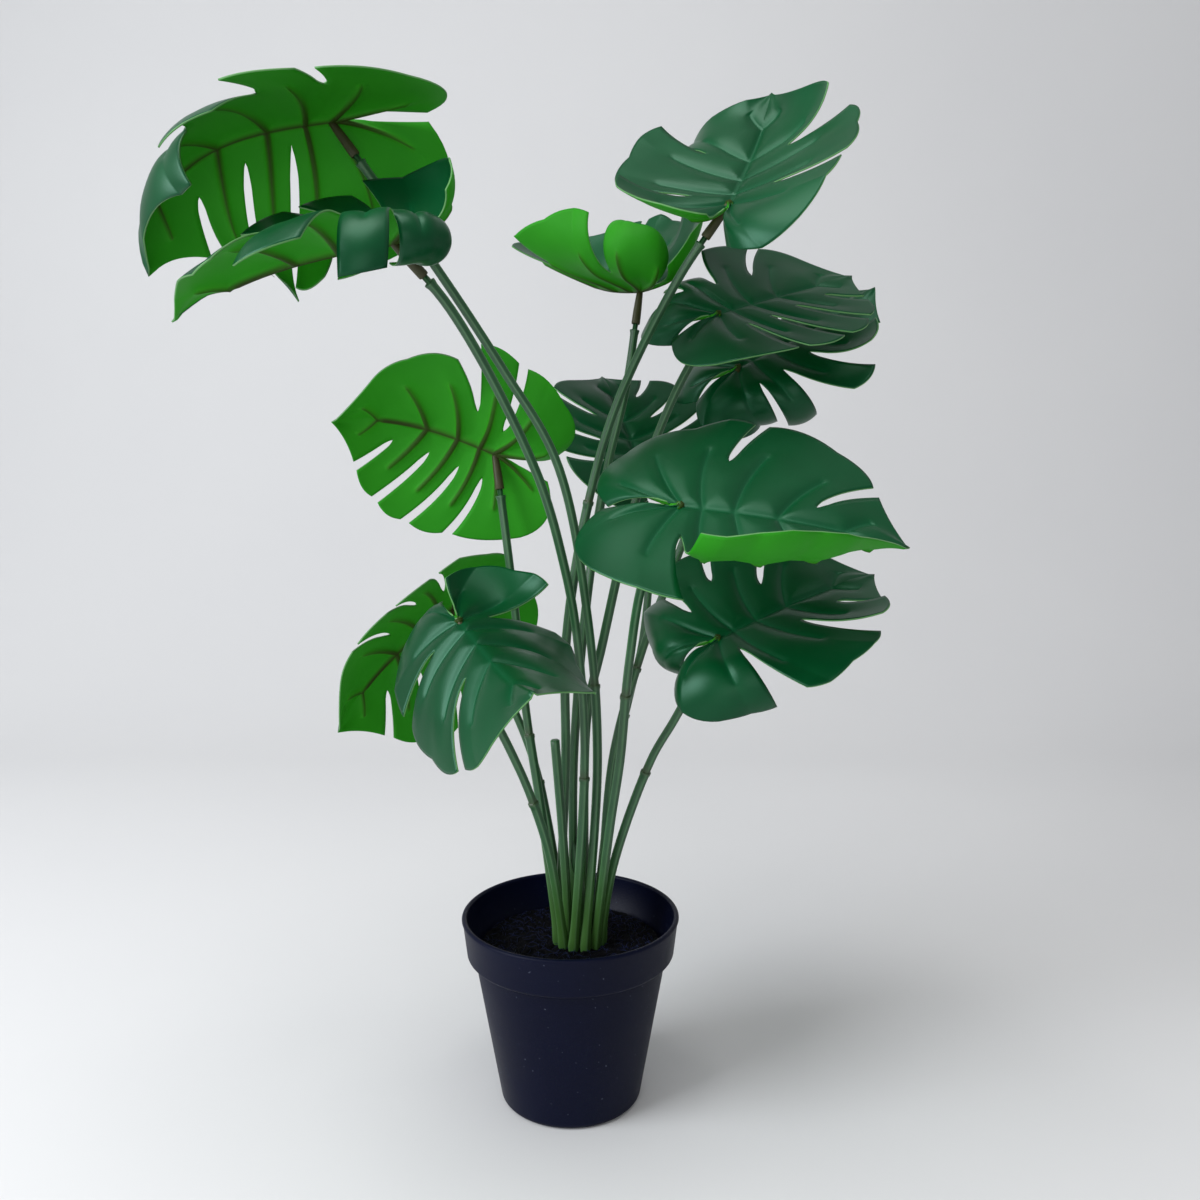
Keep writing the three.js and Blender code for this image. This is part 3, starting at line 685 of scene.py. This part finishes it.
def stemRoute(settings):
    x, y = ringPlace(settings["ring"], stem["ring"])
    depth = stem["rootDepth"]
    feet = [(x, y, soilHeight + height) for height in (-depth, -depth / 2, 0, soil["mound"] + 0.3)]
    ways = [(px, py, soilHeight + height) for px, py, height in settings["by"] + [settings["at"]]]
    return Route(feet + ways)


stemLook = {
    # ridge is a painted highlight: a paler green on the crests of the flutes
    "shade": rgb(20, 60, 36), "base": rgb(42, 88, 52), "ridge": rgb(96, 140, 98),
    "foot": rgb(76, 112, 40), "joint": rgb(50, 60, 34),
}


def makeStemMaterial():
    material, tree, shader = newMaterial("stemSheath", 0.42, 0.5)
    patch, grain = addMottle(tree, 60.0, 1500.0)
    ridge = attribute(tree, "ridge")
    base = mixColour(tree, patch, stemLook["shade"], stemLook["base"])
    # painted highlight: paler green along the flute crests
    base = mixColour(tree, multiply(tree, ridge, 0.55), base, stemLook["ridge"])
    base = mixColour(tree, attribute(tree, "foot"), base, stemLook["foot"])
    base = mixColour(tree, attribute(tree, "joint"), base, stemLook["joint"])
    link(tree, base, shader.inputs["Base Color"])
    addBump(tree, shader, grain, 0.0002, 0.5)
    return material


stemMaterial = makeStemMaterial()


def flute(angles, distance):
    return np.cos(stem["flutes"] * angles + distance * stem["fluteTwist"])


def stemSection(angles, distance):
    # shallow flutes along the sheath
    return 1 + 0.05 * flute(angles, distance) + 0.02 * np.cos(11 * angles)


def stemStations(route, joint):
    # a foot that swells at the soil, a ridge at the joint, a slimmer bar, a collar and a bare neck
    end = route.length - stem["socketLength"]
    jointAt = joint * route.length
    foot, slim, flare = stem["footRadius"], stem["radius"], stem["flareRadius"]
    stations = []
    step = 6
    soilAt = stem["rootDepth"] + soil["mound"]
    for distance in np.arange(0, jointAt, step):
        swell = stem["swell"] * math.exp(-((distance - soilAt) / 10) ** 2) if distance >= soilAt - 2 else 0
        stations.append((distance, foot * (1 + swell)))
    jointEnd = jointAt + stem["jointLength"]
    stations += [(jointAt, foot * 1.02), (jointAt + 0.6, foot * 1.14), (jointEnd - 0.4, foot * 1.16)]
    stations += [(jointEnd, foot * 1.1), (jointEnd + 0.1, slim)]
    neck = end - stem["neckBare"]
    last = neck - stem["flareLength"]
    stations += [(distance, slim) for distance in np.arange(jointEnd + 1, last, step)]
    stations += [(neck - 3, slim * 1.04), (neck - 1, flare), (neck - 0.2, flare)]
    stations += [(neck, flare * 0.85), (neck + 0.2, stem["neckRadius"])]
    stations += [(end + stem["boreDepth"] - stem["boreGap"], stem["neckRadius"])]
    return stations


def makeStem(name, node, route, stations, joint):
    rings = sweepRings(route, stations, stem["sides"], stemSection)
    points, faces = meshFromRings(rings)
    piece = newPiece(name, points, faces, [stemMaterial])
    angles = 2 * math.pi * np.arange(stem["sides"]) / stem["sides"]
    # the crests of the flutes, where the painted highlight lies
    ridge = np.concatenate([np.clip(flute(angles, d), 0, 1) ** 2 for d, r in stations])
    above = np.repeat([d - stem["rootDepth"] for d, r in stations], stem["sides"])
    addAttribute(piece, "ridge", ridge)
    addAttribute(piece, "foot", 0.5 * (1 - smoothStep(5, 90, above)))
    jointAt = joint * route.length
    # the sheath is stained just past the joint's ridge
    marks = np.array([math.exp(-((d - jointAt - 3.4) / 1.2) ** 2) for d, r in stations])
    addAttribute(piece, "joint", np.repeat(0.8 * marks, stem["sides"]))
    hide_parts(node)
    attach(piece, "root")


for name, settings in plant.items():
    route, joint = stemRoute(settings), settings["joint"]
    makeStem("stem-" + name, "stem_" + name, route, stemStations(route, joint), joint)
    makeLeaf("leaf-" + name, settings, route)
print("stems and leaves made")


def makeCutStem():
    # the short stem that was cut off, with no leaf
    x, y = ringPlace(stem["cutAngle"], stem["cutRing"])
    height, radius = stem["cutHeight"], stem["footRadius"]
    feet = [(x, y, soilHeight + level) for level in (-stem["rootDepth"], 0, 8)]
    route = Route(feet + [(x - 3, y - 2, soilHeight + height / 2), (x - 8, y - 6, soilHeight + height)])
    stations = [(distance, radius) for distance in np.linspace(0, route.length - 0.4, 30)]
    stations.append((route.length, radius * 0.85))
    makeStem("stem-cut", "stem_cut", route, stations, 2)  # no joint: its place is past the end


makeCutStem()


def makeCrown():
    # a straight stalk that narrows at its top, with a pointed bud that leans back over it
    x, y = crown["centre"]
    low, high = soilHeight - crown["rootDepth"], soilHeight + crown["height"]
    radius, budLength, budRadius = crown["radius"], crown["budLength"], crown["budRadius"]
    trunk = Route([(x, y, low), (x, y, low + 30), (x, y, high)])
    stations = [(0, radius), (crown["rootDepth"] + 10, radius)]
    stations += [(trunk.length - 12, radius * 0.85), (trunk.length, radius * 0.55)]
    points, faces = meshFromRings(sweepRings(trunk, stations, stem["sides"], stemSection))
    bud = Route([(x, y, high - budRadius),
                 (x - budLength * 0.1, y - budLength * 0.05, high + budLength / 2),
                 (x - budLength * 0.2, y - budLength * 0.1, high + budLength)])
    stations = []
    for share in np.linspace(0.02, 1, 16):
        width = budRadius * math.sin(math.pi * share ** 0.8) * (1 - 0.2 * share)
        stations.append((bud.length * share, max(width, 0.3)))
    budPoints, budFaces = meshFromRings(sweepRings(bud, stations, stem["sides"], stemSection))
    faces += [tuple(i + len(points) for i in face) for face in budFaces]
    allPoints = np.concatenate([points, budPoints])
    piece = newPiece("crown", allPoints, faces, [stemMaterial])
    above = allPoints[:, 2] - soilHeight
    addAttribute(piece, "foot", 0.45 * (1 - smoothStep(5, 80, above)))
    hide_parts("crown")
    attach(piece, "root")


makeCrown()
print("crown made")


potLow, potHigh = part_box("pot")
pot = {
    "height": (potHigh[2] - potLow[2]) / mm, "rimRadius": (potHigh[0] - potLow[0]) / 2 / mm,
    "baseRadius": 47.5, "wall": 3.5, "floor": 6, "edgeRound": 5,
    "collarHeight": 27, "collarTaper": 3.2, "collarStep": 5, "seam": 0.35, "sides": 160,
    "dark": rgb(2, 9, 29), "light": rgb(8, 17, 42), "speck": rgb(100, 108, 125),
    "rough": (0.4, 0.52), "speckSize": 620.0, "speckShow": (0.0, 0.4),
}


def makePotMaterial():
    material, tree, shader = newMaterial("potPlastic", 0.5, 0.12)
    patch, grain = addMottle(tree, 14.0, 1100.0)
    base = mixColour(tree, patch, pot["dark"], pot["light"])
    coordinates = tree.nodes.new("ShaderNodeTexCoord")
    specks = noiseNode(tree, coordinates.outputs["Object"], pot["speckSize"], 0.0)
    mask = mapRange(tree, specks.outputs["Fac"], (0.83, 0.86), pot["speckShow"])
    link(tree, mixColour(tree, mask, base, pot["speck"]), shader.inputs["Base Color"])
    link(tree, mapRange(tree, patch, (0.3, 0.7), pot["rough"]), shader.inputs["Roughness"])
    addBump(tree, shader, grain, 0.00025, 0.5)
    return material


def arcProfile(radius, height, size, fromAngle, toAngle, steps):
    angles = [math.radians(fromAngle + (toAngle - fromAngle) * i / steps) for i in range(steps + 1)]
    return [(radius + size * math.cos(angle), height + size * math.sin(angle)) for angle in angles]


def potProfile():
    # outside from the foot up, over the lip, and down the inside
    height, rimRadius, wall = pot["height"], pot["rimRadius"], pot["wall"]
    baseRadius, seam, edge = pot["baseRadius"], pot["seam"], pot["edgeRound"]
    bodyTop = height - pot["collarHeight"]
    bodyRadius = rimRadius - pot["collarTaper"] - pot["collarStep"]
    lip, step = wall / 2, pot["collarStep"] / 2
    profile = arcProfile(baseRadius - edge, edge, edge, -90, -6, 8)
    profile += [(bodyRadius - 0.4, bodyTop - 2.2), (bodyRadius - seam, bodyTop - 1.2)]
    profile += [(bodyRadius, bodyTop - 0.5)]
    profile += arcProfile(bodyRadius + step, bodyTop + step, step, -90, 0, 6)
    profile += [(rimRadius - 0.9, height - 2 * lip - 1.2)]
    profile += arcProfile(rimRadius - lip, height - lip, lip, -10, 190, 12)
    profile += [(rimRadius - wall - pot["collarTaper"], bodyTop + 5), (bodyRadius - wall, bodyTop - 0.5)]
    profile += [(baseRadius - wall + 0.6, pot["floor"] + 1), (baseRadius - wall, pot["floor"])]
    return profile


def makePot():
    profile = potProfile()
    radius, height = profile[0]
    clearSelection()
    bpy.ops.mesh.primitive_circle_add(vertices=pot["sides"], radius=radius * mm, fill_type="NGON")
    piece = bpy.context.object
    piece.name = "pot-shell"
    bpy.ops.object.mode_set(mode="EDIT")
    bpy.ops.mesh.select_all(action="SELECT")
    for nextRadius, nextHeight in profile[1:]:
        rise = (nextHeight - height) * mm
        bpy.ops.mesh.extrude_region_move(TRANSFORM_OT_translate={"value": (0, 0, rise)})
        grow = nextRadius / radius
        bpy.ops.transform.resize(value=(grow, grow, 1), center_override=(0, 0, nextHeight * mm))
        radius, height = nextRadius, nextHeight
    bpy.ops.mesh.select_all(action="SELECT")
    bpy.ops.mesh.normals_make_consistent(inside=False)
    bpy.ops.object.mode_set(mode="OBJECT")
    bpy.ops.object.shade_smooth_by_angle(angle=math.radians(40))
    piece.data.materials.append(makePotMaterial())
    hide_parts("pot")
    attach(piece, "root")


makePot()
print("pot made")


soilLook = {
    "deep": rgb(1, 2, 6), "light": rgb(8, 9, 20), "fibre": rgb(52, 60, 104), "fibreDark": rgb(6, 8, 20),
    "block": rgb(130, 126, 118), "blockLight": rgb(150, 146, 138),
    "lump": 1.6, "fibres": 1500, "fibreLength": 9, "fibreWidth": 0.22, "lightShare": 0.45, "seed": 7,
}


def makeSoilMaterial(name, deep, light, roughness):
    material, tree, shader = newMaterial(name, roughness, 0.15)
    patch, grain = addMottle(tree, 260.0, 1600.0)
    link(tree, mixColour(tree, patch, deep, light), shader.inputs["Base Color"])
    addBump(tree, shader, grain, 0.0012, 0.9)
    return material


def soilTop(x, y, lumps):
    mound = soil["mound"] * (1 - (x * x + y * y) / soil["rimRadius"] ** 2)
    waves = sum(a * math.sin(fx * x + fy * y + p) for a, fx, fy, p in lumps)
    return soilHeight + mound - 0.4 - soilLook["lump"] * 0.5 + soilLook["lump"] * 0.5 * waves


def makeSoilBed(radius, bottom, lumps):
    # a disc of rings with a lumpy top and a flat base
    rings, sides = 40, 120
    points = [(0, 0, soilTop(0, 0, lumps))]
    for ring in range(1, rings + 1):
        r = radius * ring / rings
        for i in range(sides):
            x, y = r * math.cos(2 * math.pi * i / sides), r * math.sin(2 * math.pi * i / sides)
            points.append((x, y, soilTop(x, y, lumps)))
    points += [(x, y, bottom) for x, y, _ in points[-sides:]]
    faces = [(0, 1 + i, 1 + (i + 1) % sides) for i in range(sides)]
    for ring in range(rings):
        start = 1 + ring * sides
        for i in range(sides):
            a, b = start + i, start + (i + 1) % sides
            faces.append((a, a + sides, b + sides, b))
    faces.append(tuple(reversed(range(1 + rings * sides, 1 + (rings + 1) * sides))))
    return points, faces


def makeFibre(chance, radius, lumps):
    # a thin bent strand with three sides that lies on the bed, some of them arching up
    reach = radius * 0.97 * math.sqrt(chance.random())
    turn = chance.uniform(0, 2 * math.pi)
    x, y = reach * math.cos(turn), reach * math.sin(turn)
    heading, bow = chance.uniform(0, 2 * math.pi), chance.uniform(-1.2, 1.2)
    length = soilLook["fibreLength"] * chance.uniform(0.4, 1)
    lift = chance.uniform(-0.4, 1.6)
    limit = radius * 0.985
    steps = 4
    points, faces = [], []
    for step in range(steps + 1):
        way = heading + bow * step / steps
        if step:
            x += length / steps * math.cos(way)
            y += length / steps * math.sin(way)
        away = math.hypot(x, y)
        if away > limit:
            x, y = x * limit / away, y * limit / away
        arch = max(lift, 0) * math.sin(math.pi * step / steps) + min(lift, 0) * 0.3
        z = soilTop(x, y, lumps) + 0.1 + arch
        width = soilLook["fibreWidth"] * (1 - 0.5 * abs(2 * step / steps - 1))
        dx, dy = -math.sin(way) * width, math.cos(way) * width
        points += [(x + dx, y + dy, z), (x, y, z + width), (x - dx, y - dy, z)]
    for step in range(steps):
        for k in range(3):
            b, c = step * 3 + k, step * 3 + (k + 1) % 3
            faces.append((b, b + 3, c + 3, c))
    faces += [(0, 1, 2), tuple(3 * steps + k for k in (2, 1, 0))]
    return points, faces


def makeSoil():
    chance = random.Random(soilLook["seed"])
    lumps = [(chance.uniform(0.15, 0.4), chance.uniform(-0.9, 0.9), chance.uniform(-0.9, 0.9),
              chance.uniform(0, 6.3)) for _ in range(9)]
    low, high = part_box("soil_topping")
    radius = (high[0] - low[0]) / 2 / mm
    points, faces = makeSoilBed(radius, low[2] / mm, lumps)
    slots = [0] * len(faces)
    for _ in range(soilLook["fibres"]):
        start = len(points)
        fibrePoints, fibreFaces = makeFibre(chance, radius, lumps)
        points += fibrePoints
        faces += [tuple(i + start for i in face) for face in fibreFaces]
        slots += [1 if chance.random() < soilLook["lightShare"] else 2] * len(fibreFaces)
    materials = [
        makeSoilMaterial("soilBed", soilLook["deep"], soilLook["light"], 0.95),
        makeSoilMaterial("soilFibre", soilLook["fibreDark"], soilLook["fibre"], 0.45),
        makeSoilMaterial("soilFibreDark", soilLook["deep"], soilLook["fibreDark"], 0.5),
    ]
    piece = newPiece("soil", np.array(points), faces, materials)
    piece.data.polygons.foreach_set("material_index", slots)
    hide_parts("soil_topping")
    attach(piece, "root")


makeSoil()
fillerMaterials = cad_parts["filler"].data.materials
fillerMaterials.clear()
fillerMaterials.append(makeSoilMaterial("fillerBlock", soilLook["block"], soilLook["blockLight"], 0.95))
print("soil made")


stage = {
    "floor": rgb(222, 222, 222), "floorPatch": rgb(216, 216, 217),
    "reach": 6.0, "wall": 1.6, "wallHeight": 4, "sweep": 0.8,
}


def makeStageMaterial():
    material, tree, shader = newMaterial("stagePaper", 0.9, 0.1)
    patch, grain = addMottle(tree, 2.0, 60.0)
    base = mixColour(tree, patch, stage["floor"], stage["floorPatch"])
    link(tree, base, shader.inputs["Base Color"])
    return material


def makeStage():
    # a floor whose back edge is drawn nearer and raised to a wall, with a round sweep between
    clearSelection()
    bpy.ops.mesh.primitive_plane_add(size=stage["reach"], location=(0, 0, 0))
    floor = bpy.context.object
    floor.name = "stageFloor"
    bpy.ops.object.mode_set(mode="EDIT")
    bpy.ops.mesh.select_all(action="DESELECT")
    bpy.ops.object.mode_set(mode="OBJECT")
    for vertex in floor.data.vertices:
        vertex.select = vertex.co.y > 0
    bpy.ops.object.mode_set(mode="EDIT")
    bpy.ops.transform.translate(value=(0, stage["wall"] - stage["reach"] / 2, 0))
    bpy.ops.mesh.extrude_region_move(TRANSFORM_OT_translate={"value": (0, 0, stage["wallHeight"])})
    bpy.ops.object.mode_set(mode="OBJECT")
    bevel = floor.modifiers.new("sweep", "BEVEL")
    bevel.width = stage["sweep"]
    bevel.segments = 24
    bevel.affect = "EDGES"
    bevel.limit_method = "ANGLE"
    bpy.ops.object.modifier_apply(modifier="sweep")
    bpy.ops.object.shade_smooth()
    floor.data.materials.append(makeStageMaterial())


makeStage()


lamps = {
    "windowLeft": {"at": (-1.6, -0.9, 1.1), "to": (0, 0, 0.3), "size": (1.2, 1.2), "power": 38,
                   "colour": (0.92, 0.96, 1.0)},
    "topSoft": {"at": (-0.2, -0.5, 1.9), "to": (0, 0, 0.3), "size": (1.0, 1.0), "power": 16,
                "colour": (1.0, 0.99, 0.97)},
    "frontFill": {"at": (0.3, -2.2, 0.6), "to": (0, 0, 0.35), "size": (1.6, 1.2), "power": 8,
                  "colour": (1.0, 0.98, 0.95)},
}


def addLamp(name, settings):
    clearSelection()
    bpy.ops.object.light_add(type="AREA", location=settings["at"])
    lamp = bpy.context.object
    lamp.name = name
    lamp.data.shape = "RECTANGLE"
    lamp.data.size, lamp.data.size_y = settings["size"]
    lamp.data.energy = settings["power"]
    lamp.data.color = settings["colour"]
    way = np.array(settings["to"]) - np.array(settings["at"])
    down = math.acos(-way[2] / np.linalg.norm(way))
    lamp.rotation_euler = (down, 0, math.atan2(way[1], way[0]) - math.pi / 2)


for name, settings in lamps.items():
    addLamp(name, settings)

sky = {"colour": (0.95, 0.96, 1.0, 1), "strength": 0.38}
world = bpy.data.worlds.new("studio")
bpy.context.scene.world = world
world.use_nodes = True
background = world.node_tree.nodes["Background"]
background.inputs["Color"].default_value = sky["colour"]
background.inputs["Strength"].default_value = sky["strength"]

view = {"place": (0.0197, -0.7479, 0.4546), "down": 8.7, "lens": 35.34}
clearSelection()
bpy.ops.object.camera_add(location=view["place"], rotation=(math.radians(90 - view["down"]), 0, 0))
camera = bpy.context.object
camera.data.lens = view["lens"]
camera.data.sensor_width = 36
camera.data.clip_end = 50
bpy.context.scene.camera = camera
bpy.context.scene.view_settings.view_transform = "Standard"
print("stage, lights and camera set")
